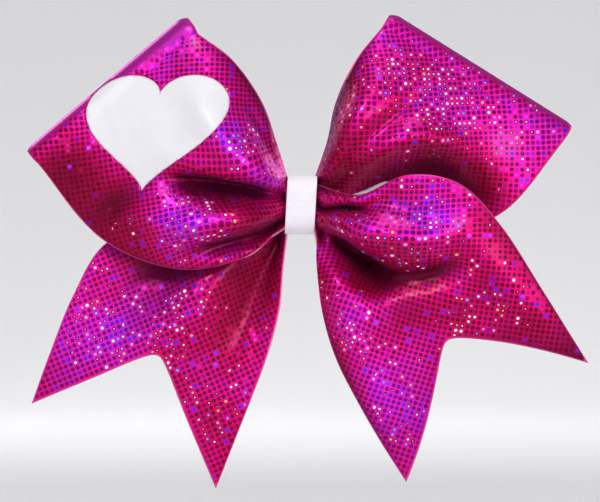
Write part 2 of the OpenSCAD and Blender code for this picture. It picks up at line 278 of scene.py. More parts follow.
def flat_coordinates(grid, guess):
    """Lays the sheet flat with as little stretch as it can, in mm, starting from guess: each small
    triangle is turned to fit its neighbours, then the points are moved to fit the triangles."""
    rows, cols = grid.shape[:2]
    r, c = math.ceil(rows / FLAT_CELL), math.ceil(cols / FLAT_CELL)
    solid = resample(grid, r, c).reshape(-1, 3)
    flat = resample(guess, r, c).reshape(-1, 2)
    corner = (np.arange(r - 1)[:, None] * c + np.arange(c - 1)).ravel()
    quad = np.stack([corner, corner + 1, corner + c + 1, corner + c], axis=1)
    tri = np.concatenate([quad[:, pick] for pick in ([0, 1, 2], [0, 2, 3], [1, 2, 3], [1, 3, 0])])
    e1 = solid[tri[:, 1]] - solid[tri[:, 0]]
    e2 = solid[tri[:, 2]] - solid[tri[:, 0]]
    base = np.linalg.norm(e1, axis=1)
    along_base = (e1 * e2).sum(1) / base
    height = np.sqrt(np.maximum((e2 * e2).sum(1) - along_base ** 2, 1e-9))
    rest = np.zeros((len(tri), 3, 2))
    rest[:, 1, 0] = base
    rest[:, 2, 0], rest[:, 2, 1] = along_base, height
    matrix = np.zeros((r * c, r * c))
    edges = []
    for k in range(3):
        i, j, far = tri[:, k], tri[:, (k + 1) % 3], rest[:, (k + 2) % 3]
        a, b = rest[:, k] - far, rest[:, (k + 1) % 3] - far
        weight = np.clip((a * b).sum(1) / np.abs(a[:, 0] * b[:, 1] - a[:, 1] * b[:, 0]), 0.05, 8)
        np.add.at(matrix, (i, i), weight)
        np.add.at(matrix, (j, j), weight)
        np.add.at(matrix, (i, j), -weight)
        np.add.at(matrix, (j, i), -weight)
        edges.append((i, j, weight[:, None], rest[:, (k + 1) % 3] - rest[:, k]))
    matrix[0, 0] += 1
    inverse = np.linalg.inv(matrix)
    anchor = flat[0].copy()
    for _ in range(FLAT_STEPS):
        turn = np.zeros(len(tri), complex)
        for i, j, weight, step in edges:
            now = flat[j] - flat[i]
            turn += weight[:, 0] * (now[:, 0] + 1j * now[:, 1]) * (step[:, 0] - 1j * step[:, 1])
        turn /= np.abs(turn)
        goal = np.zeros_like(flat)
        goal[0] = anchor
        for i, j, weight, step in edges:
            goal_step = (step[:, 0] + 1j * step[:, 1]) * turn
            pull = weight * np.stack([goal_step.real, goal_step.imag], axis=1)
            np.add.at(goal, j, pull)
            np.add.at(goal, i, -pull)
        flat = inverse @ goal
    return resample(flat.reshape(r, c, 2), rows, cols)


def turned(flat, degrees):
    """Turns flat coordinates about their origin."""
    a = math.radians(degrees)
    return flat @ np.array([[math.cos(a), math.sin(a)], [-math.sin(a), math.cos(a)]])


def ribbon_coordinates(grid):
    """A first guess at each point's flat coordinates, in mm: across from the middle, and along."""
    across = arc(grid, 1)
    return np.stack([across - across[:, -1:] / 2, arc(grid, 0)], axis=-1)


NOTCH_SLANT = 0.62


def rim_distance(grid, notched):
    """Distance from each point to the ribbon's nearest cut edge, in mm."""
    across = arc(grid, 1)
    rim = np.minimum(across, across[:, -1:] - across)
    if notched:
        length = arc(grid, 0)
        rim = np.minimum(rim, (length[-1:, :] - length) * NOTCH_SLANT)
    return rim


def add_ribbon_map(obj, flat):
    """Stores flat ribbon coordinates as the piece's UV map, in units of MAP_UNIT mm."""
    layer = obj.data.uv_layers.new(name="ribbon")
    table = np.tile(flat.reshape(-1, 2), (2, 1)) / MAP_UNIT
    index = np.zeros(len(obj.data.loops), int)
    obj.data.loops.foreach_get("vertex_index", index)
    layer.data.foreach_set("uv", table[index].astype(np.float32).reshape(-1))


def ribbon(name, grid, side, kind, flat, extras):
    """One layer of the ribbon, the dotted face or the white lining."""
    near, far = (0, FACE_T) if kind == "face" else (-LINING_T, 0)
    obj = sheet_mesh(name, grid, side, near, far, extras)
    add_ribbon_map(obj, flat)
    return obj


def peek(grid, rows, start, end, edge, amount):
    """The lining's grid, run out past the face's edge between two places along the pass."""
    u = np.arange(len(grid)) / (rows - 1)
    bump = np.sin(math.pi * np.clip((u - start) / (end - start), 0, 1))
    grid = grid.copy()
    outer, inner = (0, 4) if edge == "lower" else (-1, -5)
    out = grid[:, outer] - grid[:, inner]
    out /= np.linalg.norm(out, axis=1, keepdims=True)
    for k in range(4):
        column = k if edge == "lower" else -1 - k
        grid[:, column] += out * (amount * bump * (1 - k / 4) ** 2)[:, None]
    return grid


# Blur steps and depth for the painted shade in folds.
HOLLOW_BLUR = 70
HOLLOW_DEPTH = 2.6


def fold_shade_share(grid):
    """Painted shade in folds: 0 on open fabric to 1 deep in a fold, by how far a point lies behind the
    fabric round it.
    """
    depth = grid[..., 1]
    around = depth.copy()
    for _ in range(HOLLOW_BLUR):
        padded = np.pad(around, 1, mode="edge")
        around = (padded[:-2, 1:-1] + padded[2:, 1:-1] + padded[1:-1, :-2] + padded[1:-1, 2:]) / 4
    return np.clip((depth - around) / HOLLOW_DEPTH, 0, 1)


def spots(grid, places, rows=None):
    """Sum of soft round spots, each (x, z, radius, amount), on the first rows of a grid."""
    total = np.zeros(grid.shape[:2])
    for x, z, radius, amount in places:
        gap = (grid[..., 0] - x) ** 2 + (grid[..., 2] - z) ** 2
        total += amount * np.exp(-gap / radius ** 2)
    if rows:
        total[rows:] = 0
    return total


# ---- The ribbon's passes: edges as in the frame, and the folds of the real fabric ----
# A fold is (line of (x, z) points, height towards the viewer, width, strength at its near end) and
# may end with the (x, z) slip of the fabric at its line.

LEFT_FRONT = dict(
    lower=[[-4.6, -2.9, -7.8], [-22, -9, -19], [-45, -8, -22], [-71, -8, -11], [-93, -5, 15]],
    upper=[[-4.6, -2.9, 7.8], [-9, -7, 22], [-14, -8, 36], [-24, -8, 50.5], [-37.2, -5, 61.4]],
    swell=12, lean=0.3, roll=4, knot_pleat=2.0, pleat=1.0,
    folds=[
        ([(-6, 0), (-16, 1.5), (-28, 3), (-40, 6), (-54, 11)], -14, 4.4, 0.3, (0, 5)),
        ([(-6, -4), (-22, -6), (-36, -8), (-50, -8), (-66, -3)], 6, 5.5, 0.7),
        ([(-6, 4), (-17, 11), (-27, 22), (-36, 36), (-42, 46)], 4, 6, 0.6),
        ([(-6, 6), (-11, 17), (-17, 30), (-24, 42)], -2.5, 2.6, 1),
        ([(-6, -7), (-16, -11), (-28, -14.5), (-42, -16)], -7, 3.2, 1, (0, 1.5)),
        ([(-46, 20), (-56, 8), (-66, 0), (-74, -6)], -3, 6, 0.3),
    ],
)
LEFT_BACK = dict(
    lower=[[-4.6, 0.3, -7.8], [-26, 5, -5], [-48, 6, 1], [-71, 7, 8], [-93, 7, 15]],
    upper=[[-4.6, 0.3, 7.8], [-10, 9, 22], [-15, 17, 36], [-24, 16, 50], [-37.2, 7, 61.4]],
    swell=0, lean=0, roll=0, knot_pleat=2.0, pleat=-1.5,
    folds=[
        ([(-8, 2), (-25, 12), (-45, 24), (-60, 34)], -4, 5, 0.8),
        ([(-8, 6), (-17, 22), (-26, 38)], 3, 4, 0.8),
        ([(-8, -3), (-30, 2), (-55, 10)], 3, 4, 0.8),
    ],
)
RIGHT_FRONT = dict(
    lower=[[4.6, -1.3, -5.5], [27, -1, -6], [50, -3, -10], [72, -6, -2], [92.8, -5, 23]],
    upper=[[4.6, -1.3, 7.8], [9.5, -5, 22], [12.6, -8, 36], [19, -9, 50], [28.8, -5, 63]],
    swell=13, lean=0.9, roll=0, knot_pleat=2.0, pleat=1.0,
    folds=[
        ([(6, 0), (24, 4), (42, 8), (55, 4), (67, -5)], -12, 9.5, 0.3, (0, 2)),
        ([(8, 6), (22, 16), (40, 23), (54, 20), (68, 10)], 3.5, 5, 0.3),
        ([(8, 4), (16, 14), (26, 24), (40, 36), (52, 44)], -3.5, 4.5, 0.8),
        ([(7, 7), (13, 20), (20, 34), (30, 48)], 3, 4.5, 0.8),
    ],
)
RIGHT_BACK = dict(
    lower=[[4.6, 0.3, -7.8], [27, 5, -4], [50, 6, 3], [72, 7, 12], [92.8, 7, 23]],
    upper=[[4.6, 0.3, 7.8], [10, 9, 22], [13, 17, 36], [19.5, 16, 50], [28.8, 7, 63]],
    swell=0, lean=0, roll=0, knot_pleat=2.0, pleat=-1.5,
    folds=[
        ([(8, 2), (25, 14), (45, 27), (60, 38)], -4, 5, 0.8),
        ([(8, 6), (15, 22), (22, 38)], 3, 4, 0.8),
        ([(8, -3), (30, 2), (55, 10)], 3, 4, 0.8),
    ],
)
LEFT_TAIL = dict(
    lower=[[-4.6, -1.3, -7.8], [-6.3, -4, -23], [-7.6, -5, -37], [-11.5, -5, -52], [-17, -4, -67],
           [-23.5, -3, -83.5], [-30, -2, -100]],
    upper=[[-4.6, -1.3, 7.8], [-28, 2, -2], [-50, 1, -6], [-69.5, -1, -14], [-80.5, -2, -32],
           [-88.5, -3, -52], [-95, -3, -70]],
    swell=0, lean=0, roll=0, knot_pleat=2.0, pleat=0.8,
    folds=[
        ([(-8, -9), (-12, -20), (-15, -34), (-18, -50), (-22, -66)], -4.5, 9, 1),
        ([(-24, -10), (-33, -26), (-39, -44), (-44, -60)], 2.2, 9, 0.7),
        ([(-16, -12), (-34, -28), (-52, -48), (-70, -62)], 2.5, 8, 0.6),
        ([(-14, -6), (-36, -13), (-58, -26), (-76, -44)], -2.5, 6, 0.8),
    ],
)
RIGHT_TAIL = dict(
    lower=[[4.6, -2.9, -7.8], [6, -10, -24], [8, -12, -39], [12.5, -11, -54], [20, -9, -69],
           [28.5, -6, -84], [37, -5, -97.5]],
    upper=[[4.6, -2.9, 7.8], [20, -15, 3], [37, -23, 10], [55, -24, 7], [70, -19, -8],
           [85, -13, -31], [101, -7, -55.5]],
    swell=3, lean=0.4, roll=0, knot_pleat=2.0, pleat=-1.2,
    folds=[
        ([(7, -12), (13, -17), (20, -23), (27, -27.5), (34, -30)], -14, 4.6, 0.45, (1, 5)),
        ([(24, -25), (36, -27), (48, -25), (60, -18)], -6, 5, 0.7, (0, 2)),
        ([(6, -4), (18, -8), (32, -11), (46, -12), (60, -8)], 6, 5.5, 0.6),
        ([(5, 3), (12, 2), (20, 1.5), (30, 4)], 3.5, 2.2, 0.8),
        ([(5, -2.2), (12, -2), (18, -1.8), (26, -2.8)], -6, 1.8, 1, (0, 1)),
        ([(10, -30), (18, -50), (27, -70), (34, -86)], 2.5, 6, 0.5),
        ([(50, -8), (66, -22), (82, -38), (94, -50)], 2.5, 7, 0.6),
    ],
)
# Where the white lining shows past the face: start and end along the pass, edge, width.
PEEKS = {"left_loop": (0.09, 0.27, "lower", 1.1), "right_tail": (0.13, 0.275, "upper", 3.8)}
# Painted shade where the fabric lies in a neighbour's shade: (x, z, radius, amount).
SHADES = {"left_tail": [(-66, -13, 6, 0.5), (-54, -19, 7, 0.8), (-40, -22, 7, 0.9), (-26, -20, 7, 0.9),
                        (-13, -14, 6, 0.8), (-53, -30, 12, 0.42), (-85, -62, 11, 0.32), (-60, -45, 9, 0.15)],
          "left_loop": [(-84, 10, 12, 0.6), (-70, -4, 10, 0.45), (-12, -9, 5, 0.3), (-16, 2.5, 4, 0.6),
                        (-27, 4, 4.5, 0.7), (-38, 6, 4, 0.5), (-41, 55, 10, 0.5)],
          "right_loop": [(46, 9, 8, 0.8), (58, 3, 8, 0.8), (30, 6, 6, 0.5), (84, 24, 13, 0.3)],
          "right_tail": [(36, -34, 10, 0.4)]}
# Painted sheen and shade: where the foil is painted violet as if lit (amount above 0) or crimson as if
# shaded (below 0): (x, z, radius, amount).
SHEEN_AND_SHADE_SPOTS = {
    "left_loop": [(-70, 44, 13, 0.9), (-48, 62, 12, 0.9), (-92, 22, 9, 0.5), (-23, 24, 10, 1.3),
                  (-14, 9, 8, 1.2), (-41, -7, 10, 1.3), (-84, 11, 13, -1.7), (-70, -3, 11, -1.4),
                  (-16, -8, 7, -0.6),
                  (-60, -14, 9, -0.6), (-36, 12, 8, -0.3)],
    "right_loop": [(33, 58, 12, 0.4), (50, 36, 12, 0.5), (84, 24, 15, 0.65), (58, 40, 10, 0.3),
                   (12, 14, 9, -0.8), (20, 36, 8, -0.3), (47, 12, 9, -1.5), (62, 4, 9, -1.3),
                   (28, 9, 7, -0.7)],
    "left_tail": [(-70, -44, 15, 0.9), (-46, -34, 10, 0.2), (-14, -26, 12, -1.1), (-21, -48, 12, -0.7),
                  (-30, -80, 14, -0.5), (-80, -60, 8, 0.3), (-34, -16, 8, -0.9)],
    "right_tail": [(45, -4, 13, 0.9), (24, -8, 8, 0.5), (24, -26, 7, -1.2), (42, -27, 9, -1.0),
                   (14, -40, 9, 0.7), (35, -70, 18, 1.4), (62, -28, 12, -0.4), (84, -44, 12, -0.3),
                   (66, -8, 8, -0.3)],
}
# Where painted glints gather, in place of foil that catches the light in many sparks: (x, z, radius,
# amount).
SPARKS = {
    "left_loop": [(-22, 21, 7, 1.4), (-38, -7, 12, 0.9), (-62, -6, 9, 0.3), (-20, 44, 8, 0.3)],
    "right_loop": [(34, 44, 13, 0.9), (56, 36, 16, 1.0), (78, 26, 10, 0.6)],
    "left_tail": [(-68, -44, 17, 1.0), (-45, -44, 10, 0.8), (-38, -32, 9, 0.6), (-30, -74, 12, 0.4)],
    "right_tail": [(36, -11, 12, 1.0), (20, -44, 8, 0.9), (64, -38, 15, 0.8), (34, -78, 12, 0.7),
                   (50, -2, 9, 0.5)],
}
# The ends of the loops' end folds, and each end's way out and corner insets.
LEFT_CORNERS = ([-97, 0, 19.5], [-41, 0, 67])
RIGHT_CORNERS = ([96, 0, 28], [32, 0, 68])
LEFT_END = ((-0.64, 0.77), 1.6, 0.8)
RIGHT_END = ((0.53, 0.848), 1.4, 0.6)
LEFT_NOTCH = 0.30
RIGHT_NOTCH = 0.25
# Clearances between the layers near the knot, and how far out they are kept.
JAW_GAP = 0.2
KNOT_REACH = 34
LAYER_GAP = 1.15
FRONT_ROWS = 80
BACK_ROWS = 60
TAIL_ROWS = 96
MID_TURN = FRONT_ROWS + TURN_ROWS // 2


def loop_pass(part, end, rows):
    return grid_of(dict(part, end=end), np.linspace(0, 1, rows))


def set_behind(grid, other):
    """Moves grid back where it would touch other, which lies in front of it near the knot."""
    near = other[np.abs(other[..., 0]) < KNOT_REACH]
    for row in grid:
        if np.abs(row[:, 0]).min() < KNOT_REACH:
            gap = (row[:, None, 0] - near[:, 0]) ** 2 + (row[:, None, 2] - near[:, 2]) ** 2
            clear = (near[:, 1] + LAYER_GAP - gap / (2 * LAYER_GAP)).max(axis=1)
            row[:, 1] = np.maximum(row[:, 1], clear)


def loop_grid(going, coming, corners, end):
    """A loop: its front pass, the soft turn at its end and its back pass, clear of the front jaw."""
    beside_jaw = 1 - smooth(np.abs(coming[..., 0]), jaw_high[0], jaw_high[0] + 8)
    beside_jaw *= 1 - smooth(np.abs(coming[..., 2]), jaw_high[2] + 0.5, jaw_high[2] + 5)
    furthest_back = jaw_low[1] - KNOT_Y - FACE_T - JAW_GAP
    coming[..., 1] -= beside_jaw * np.maximum(0, coming[..., 1] - furthest_back)
    return np.concatenate([going, turn_grid(corners, end), coming[::-1]])


def bare_band(grid, near_upper, near_lower):
    """1 where the foil is plain beside a loop's end turn, in a band that widens along the turn."""
    length = arc(grid, 0)
    gap = np.abs(length - length[MID_TURN])
    t = np.linspace(0, 1, COLUMNS + 1)
    width = near_lower + (near_upper - near_lower) * t
    return 1 - smooth(gap, width - 1, width + 1)


# ---- Materials ----

class Graph:
    """A material's node tree, with the shader made and linked."""

    def __init__(self, name):
        self.material = bpy.data.materials.new(name)
        self.material.use_nodes = True
        self.tree = self.material.node_tree
        self.tree.nodes.clear()
        output = self.tree.nodes.new("ShaderNodeOutputMaterial")
        self.shader = self.tree.nodes.new("ShaderNodeBsdfPrincipled")
        self.tree.links.new(self.shader.outputs[0], output.inputs["Surface"])

    def add(self, kind, inputs=(), output=0, **settings):
        """A node with its settings made and its inputs set or linked; gives one of its outputs."""
        node = self.tree.nodes.new("ShaderNode" + kind)
        for key, value in settings.items():
            setattr(node, key, value)
        for key, value in dict(inputs).items():
            self.put(node.inputs[key], value)
        return node.outputs[output]

    def put(self, socket, value):
        if isinstance(value, bpy.types.NodeSocket):
            self.tree.links.new(value, socket)
        else:
            socket.default_value = value

    def math(self, operation, a, b=0.0, clamp=False):
        return self.add("Math", {0: a, 1: b}, operation=operation, use_clamp=clamp)

    def plus(self, a, b, **options):
        return self.math("ADD", a, b, **options)

    def minus(self, a, b, **options):
        return self.math("SUBTRACT", a, b, **options)

    def times(self, a, b):
        return self.math("MULTIPLY", a, b)

    def vector(self, operation, a, b=(0, 0, 0), output=0):
        return self.add("VectorMath", {0: a, 1: b}, output, operation=operation)

    def step(self, value, low, high):
        """0 below low, 1 above high."""
        return self.add("MapRange", {"Value": value, "From Min": low, "From Max": high},
                        interpolation_type="SMOOTHSTEP")

    def mix(self, share, a, b):
        return self.add("Mix", {0: share, 6: a, 7: b}, 2, data_type="RGBA")

    def ramp(self, share, stops, constant=False):
        """A colour ramp through (place, colour) stops."""
        out = self.add("ValToRGB", {"Fac": share})
        ramp = out.node.color_ramp
        ramp.interpolation = "CONSTANT" if constant else "LINEAR"
        while len(ramp.elements) < len(stops):
            ramp.elements.new(1.0)
        for element, (place, colour) in zip(ramp.elements, stops):
            element.position = place
            element.color = colour
        return out

    def noise(self, where, scale, detail=2.0, roughness=0.5):
        return self.add("TexNoise", {"Vector": where, "Scale": scale, "Detail": detail,
                                     "Roughness": roughness})

    def bump(self, height, distance, normal=None, strength=1.0):
        inputs = {"Height": height, "Distance": distance, "Strength": strength}
        if normal is not None:
            inputs["Normal"] = normal
        return self.add("Bump", inputs)

    def shade(self, **values):
        for key, value in values.items():
            self.put(self.shader.inputs[key.replace("_", " ")], value)


MAP_UNIT = 10.0
DOT_PITCH = 1.9
DOT_TURN = math.radians(38)
TAIL_TURN = -11.5
LOOP_TURN = 15
# Which way the foil is painted most violet, as painted sheen from the key light: between the key light's way
# and the front.
PAINTED_SHEEN_WAY = (-0.13, -0.93, 0.34)
RIM_PINK = (0.85, 0.09, 0.36, 1)
PLAIN_LILAC = (0.34, 0.015, 0.26, 1)
# The colour of painted shade in folds and under neighbours.
SHADE = (0.10, 0.0, 0.015, 1)
# Foil colours from painted shade (dark crimson) through the fabric's pink to painted sheen (violet).
FOIL = [(0.0, (0.46, 0.0, 0.045, 1)), (0.32, (0.74, 0.001, 0.15, 1)), (0.62, (0.86, 0.010, 0.38, 1)),
        (1.0, (0.68, 0.020, 0.74, 1))]
# Dot colours, moved from crimson to violet by the painted sheen and shade and by chance.
DOTS = [(0.0, (0.13, 0.0, 0.01, 1)), (0.35, (0.24, 0.0, 0.06, 1)), (0.62, (0.28, 0.0, 0.20, 1)),
        (0.82, (0.20, 0.004, 0.50, 1)), (1.0, (0.10, 0.02, 0.95, 1))]
# Colours of painted glints.
GLINTS = [(0.0, (1.0, 0.80, 0.95, 1)), (0.42, (1.0, 0.40, 0.16, 1)), (0.56, (1.0, 0.25, 0.62, 1)),
          (0.80, (0.35, 0.25, 1.0, 1))]


def ribbon_place(g):
    """Flat ribbon coordinates in mm, from a piece's map."""
    place = g.vector("SCALE", g.add("UVMap", uv_map="ribbon"))
    place.node.inputs["Scale"].default_value = MAP_UNIT
    return place


def dotted_fabric():
    """Stretch fabric with a square lattice of small foil dots, some of them with painted glints. The foil's
    colour runs from crimson to violet with random tone and painted light: painted sheen makes it more violet
    where it faces up and out of the bow's front, towards the key light, and painted shade makes it crimson."""
    g = Graph("dotted fabric")
    place = ribbon_place(g)
    lattice = g.add("Mapping", {"Vector": place, "Rotation": (0, 0, DOT_TURN),
                                "Scale": (1 / DOT_PITCH,) * 3})
    cell = g.vector("FLOOR", lattice)
    local = g.vector("SUBTRACT", g.vector("FRACTION", lattice), (0.5, 0.5, 0.0))
    radius = g.vector("LENGTH", g.vector("MULTIPLY", local, (1, 1, 0)), output=1)
    bare, rim, painted_sheen_and_shade, sparks, painted_shade = (g.add("Attribute", output="Fac", attribute_name=key)
                                      for key in ("bare", "rim", "painted_sheen_and_shade", "sparks", "painted_shade"))
    covered = g.times(g.minus(1.0, bare, clamp=True), g.step(rim, 0.5, 0.9))
    dot = g.times(g.step(radius, 0.43, 0.34), covered)

    chance = g.add("TexWhiteNoise", {"Vector": cell}, "Value", noise_dimensions="2D")
    other = g.add("TexWhiteNoise", {"Vector": g.vector("ADD", cell, (31.7, 12.3, 0.0))}, "Color",
                  noise_dimensions="2D")
    red, green, blue = (g.add("SeparateColor", {"Color": other}, key) for key in ("Red", "Green", "Blue"))
    normal = g.add("NewGeometry", output="Normal")
    # Painted sheen: the foil is painted more violet where it faces the key light.
    sheen_facing = g.step(g.vector("DOT_PRODUCT", normal, PAINTED_SHEEN_WAY, output=1), 0.72, 1.0)
    tone = g.minus(g.noise(place, 0.06, 3.0), 0.5)
    # Random tone plus painted sheen and shade.
    tone_and_light = g.plus(g.times(sheen_facing, 0.30), g.times(tone, 0.8))
    tone_and_light = g.plus(g.plus(tone_and_light, 0.24), g.times(painted_sheen_and_shade, 0.42), clamp=True)
    ground = g.ramp(tone_and_light, FOIL)
    # Painted shade: the ground darkens towards SHADE deep in folds and where a neighbour shades it.
    ground = g.mix(g.times(painted_shade, 0.92), ground, SHADE)
    ground = g.mix(g.times(bare, 0.85), ground, PLAIN_LILAC)
    ground = g.mix(g.step(rim, 0.55, 0.15), ground, RIM_PINK)

    lone_blue = g.times(g.math("GREATER_THAN", blue, 0.955), 0.6)
    cast = g.plus(g.times(tone_and_light, 0.62), g.times(red, 0.34))
    cast = g.plus(cast, lone_blue, clamp=True)
    dot_colour = g.ramp(cast, DOTS)
    # Painted shade on the dots too.
    dot_colour = g.mix(g.times(painted_shade, 0.8), dot_colour, SHADE)
    colour = g.mix(dot, ground, dot_colour)

    # Painted glints: some dots get a bright glint colour and less metal.
    patch = g.minus(g.noise(g.vector("ADD", place, (50.0, 20.0, 0.0)), 0.22, 2.0), 0.45)
    share = g.plus(g.times(sparks, 0.46), g.times(patch, 0.5))
    # Fewer painted glints where shade is painted.
    share = g.minus(g.math("MAXIMUM", share, 0.02), g.times(painted_shade, 0.4), clamp=True)
    lit = g.math("GREATER_THAN", share, chance)
    size = g.plus(0.12, g.times(red, 0.19))
    inside = g.times(g.math("LESS_THAN", radius, size), covered)
    spark = g.times(lit, inside)
    colour = g.mix(spark, colour, g.ramp(green, GLINTS, constant=True))

    tilt = g.vector("SCALE", g.vector("SUBTRACT", other, (0.5, 0.5, 0.5)))
    g.put(tilt.node.inputs["Scale"], g.times(dot, 0.34))
    normal = g.vector("NORMALIZE", g.vector("ADD", normal, tilt))
    knit = g.noise(g.vector("MULTIPLY", place, (1.0, 2.2, 0.0)), 2.6, 2.0)
    normal = g.bump(g.times(knit, g.minus(1.0, dot)), 0.00008, normal, 0.6)
    normal = g.bump(dot, 0.00004, normal, 0.7)
    roughness = g.minus(0.42, g.times(dot, 0.14))
    metal = g.minus(0.52, g.times(spark, 0.45))
    g.shade(Base_Color=colour, Roughness=roughness, Metallic=metal, Normal=normal, Coat_Weight=0.08,
            Coat_Roughness=0.16, Specular_IOR_Level=0.25, Specular_Tint=(0.85, 0.35, 0.85, 1),
            Sheen_Weight=0.05, Sheen_Tint=(0.75, 0.35, 1.0, 1))
    return g.material


RIB_STEP = 0.9


def white_ribbon(name, ribs):
    """White ribbon with fine lengthwise threads, and grosgrain ribs across it if asked."""
    g = Graph(name)
    place = ribbon_place(g)
    thread = g.noise(g.vector("MULTIPLY", place, (5.0, 0.35, 0.0)), 1.6, 2.0)
    tone = g.noise(place, 0.09, 2.0)
    colour = g.mix(tone, (0.72, 0.73, 0.76, 1), (0.82, 0.82, 0.83, 1))
    normal = g.bump(thread, 0.00005, strength=0.5)
    roughness = g.plus(0.30, g.times(thread, 0.14))
    if ribs:
        length = g.add("SeparateXYZ", {"Vector": place}, "Y")
        rib = g.math("SINE", g.times(length, 2 * math.pi / RIB_STEP))
        # Painted shade in the grooves between the ribs.
        painted_groove_shade = g.times(g.minus(1.0, rib), 0.13)
        colour = g.mix(painted_groove_shade, colour, (0.42, 0.42, 0.46, 1))
        normal = g.bump(rib, 0.00010, normal, 0.8)
        roughness = g.plus(roughness, 0.18)
    g.shade(Base_Color=colour, Roughness=roughness, Normal=normal, Sheen_Weight=0.2)
    return g.material


def ribbed_white():
    """White grosgrain: thread noise on top of the modelled ribs."""
    g = Graph("white grosgrain")
    where = g.add("TexCoord", output="Object")
    thread = g.noise(g.vector("MULTIPLY", where, (9000.0, 1500.0, 1500.0)), 1.0, 2.0)
    stain = g.noise(g.vector("MULTIPLY", where, (120.0, 120.0, 120.0)), 1.0, 2.0)
    colour = g.mix(stain, (0.80, 0.81, 0.85, 1), (0.90, 0.90, 0.92, 1))
    g.shade(Base_Color=colour, Roughness=g.plus(0.55, g.times(thread, 0.2)),
            Normal=g.bump(thread, 0.00006, strength=0.5), Sheen_Weight=0.25)
    return g.material


def plated_steel(name, colour, gloss):
    """Nickel-plated steel: fine drawing lines and faint stains."""
    g = Graph(name)
    where = g.add("TexCoord", output="Object")
    brushed = g.noise(g.vector("MULTIPLY", where, (300.0, 9000.0, 9000.0)), 1.0, 3.0)
    stain = g.noise(g.vector("MULTIPLY", where, (260.0, 260.0, 260.0)), 1.0, 3.0)
    dull = tuple(0.72 * c for c in colour) + (1,)
    g.shade(Base_Color=g.mix(stain, dull, colour + (1,)), Metallic=1.0,
            Roughness=g.plus(gloss, g.times(brushed, 0.18)),
            Normal=g.bump(brushed, 0.00002, strength=0.4))
    return g.material


def soft_plastic(name, colour, deep, gloss, grain):
    """Moulded plastic or glue with a little mottling."""
    g = Graph(name)
    where = g.add("TexCoord", output="Object")
    mottle = g.noise(g.vector("MULTIPLY", where, (grain, grain, grain)), 1.0, 3.0)
    g.shade(Base_Color=g.mix(mottle, deep, colour),
            Roughness=g.plus(gloss, g.times(mottle, 0.1)),
            Normal=g.bump(mottle, 0.00005, strength=0.3))
    return g.material


# ---- Heart window ----

HEART_AT = (-51.3, 28.9)
HEART_HALF = 24.8
HEART_TILT = math.radians(-10.5)
HEART_SKEW = 0.18
HEART_STEPS = 96
# The heart lies between these distances in front of the ribbon's middle surface.
HEART_LAYER = (0.05, 0.17)
WINDOW_GAP = 0.1


def heart_prism(name, half_width):
    """A heart-shaped block that passes through the left loop's front only."""
    steps = HEART_STEPS
    front, back = KNOT_Y - 45, KNOT_Y + TURN_Y
    tilt_cos, tilt_sin = math.cos(HEART_TILT), math.sin(HEART_TILT)
    ring = []
    for i in range(steps):
        a = 2 * math.pi * i / steps
        x = math.sin(a) ** 3
        z = (13 * math.cos(a) - 4 * math.cos(2 * a) - 1.6 * math.cos(3 * a) - 0.6 * math.cos(4 * a)) / 16
        z += HEART_SKEW * x
        x, z = x * tilt_cos - z * tilt_sin, x * tilt_sin + z * tilt_cos
        ring.append((HEART_AT[0] + half_width * x, HEART_AT[1] + half_width * z))
    points = [(x * MM, y * MM, z * MM) for y in (front, back) for x, z in ring]
    sides = [[i, (i + 1) % steps, steps + (i + 1) % steps, steps + i] for i in range(steps)]
    caps = [list(range(steps))[::-1], list(range(steps, 2 * steps))]
    return placed(name, new_mesh(name, points, sides + caps, rounded=False))


# Points closer than this are merged after a boolean.
SLIVER = 0.002


def cut(obj, tool, operation):
    """Applies a boolean to obj, merges the slivers it leaves and deletes the tool."""
    modifier = obj.modifiers.new("cut", "BOOLEAN")
    modifier.operation = operation
    modifier.solver = "EXACT"
    modifier.object = tool
    bpy.context.view_layer.update()
    done = obj.evaluated_get(bpy.context.evaluated_depsgraph_get())
    mesh = bpy.data.meshes.new_from_object(done)
    tidied = bmesh.new()
    tidied.from_mesh(mesh)
    bmesh.ops.remove_doubles(tidied, verts=tidied.verts, dist=SLIVER * MM)
    bmesh.ops.dissolve_degenerate(tidied, edges=tidied.edges, dist=SLIVER * MM)
    tidied.to_mesh(mesh)
    tidied.free()
    obj.modifiers.clear()
    obj.data = mesh
    bpy.data.objects.remove(tool)


# ---- Centre ----

def convex_outline(points):
    """The points' convex outline, in order round it."""
    ordered = sorted(map(tuple, points))

    def half(sequence):
        chain = []
        for p in sequence:
            while len(chain) > 1:
                (ax, ay), (bx, by) = chain[-2], chain[-1]
                if (bx - ax) * (p[1] - ay) - (by - ay) * (p[0] - ax) > 0:
                    break
                chain.pop()
            chain.append(p)
        return chain[:-1]

    return np.array(half(ordered) + half(ordered[::-1]))


def even_ring(outline, count):
    """count points spaced evenly along a closed outline, its outward normals and its length."""
    closed = np.vstack([outline, outline[:1]])
    length = np.concatenate([[0], np.cumsum(np.linalg.norm(np.diff(closed, axis=0), axis=1))])
    where = np.linspace(0, length[-1], count, endpoint=False)
    ring = np.stack([np.interp(where, length, closed[:, k]) for k in (0, 1)], axis=1)
    for _ in range(6):
        ring = 0.5 * ring + 0.25 * (np.roll(ring, 1, 0) + np.roll(ring, -1, 0))
    ahead = np.roll(ring, -1, 0) - np.roll(ring, 1, 0)
    out = np.stack([ahead[:, 1], -ahead[:, 0]], axis=1)
    return ring, out / np.linalg.norm(out, axis=1, keepdims=True), length[-1]


def core_circle_points(grow):
    """Points round the two ends of the squeezed middle's section, grown by a distance."""
    angles = np.linspace(0, 2 * math.pi, 120, endpoint=False)
    r = CORE_R + grow
    return [(CORE_Y + r * math.cos(a), side * CORE_HALF + r * math.sin(a))
            for side in (-1, 1) for a in angles]


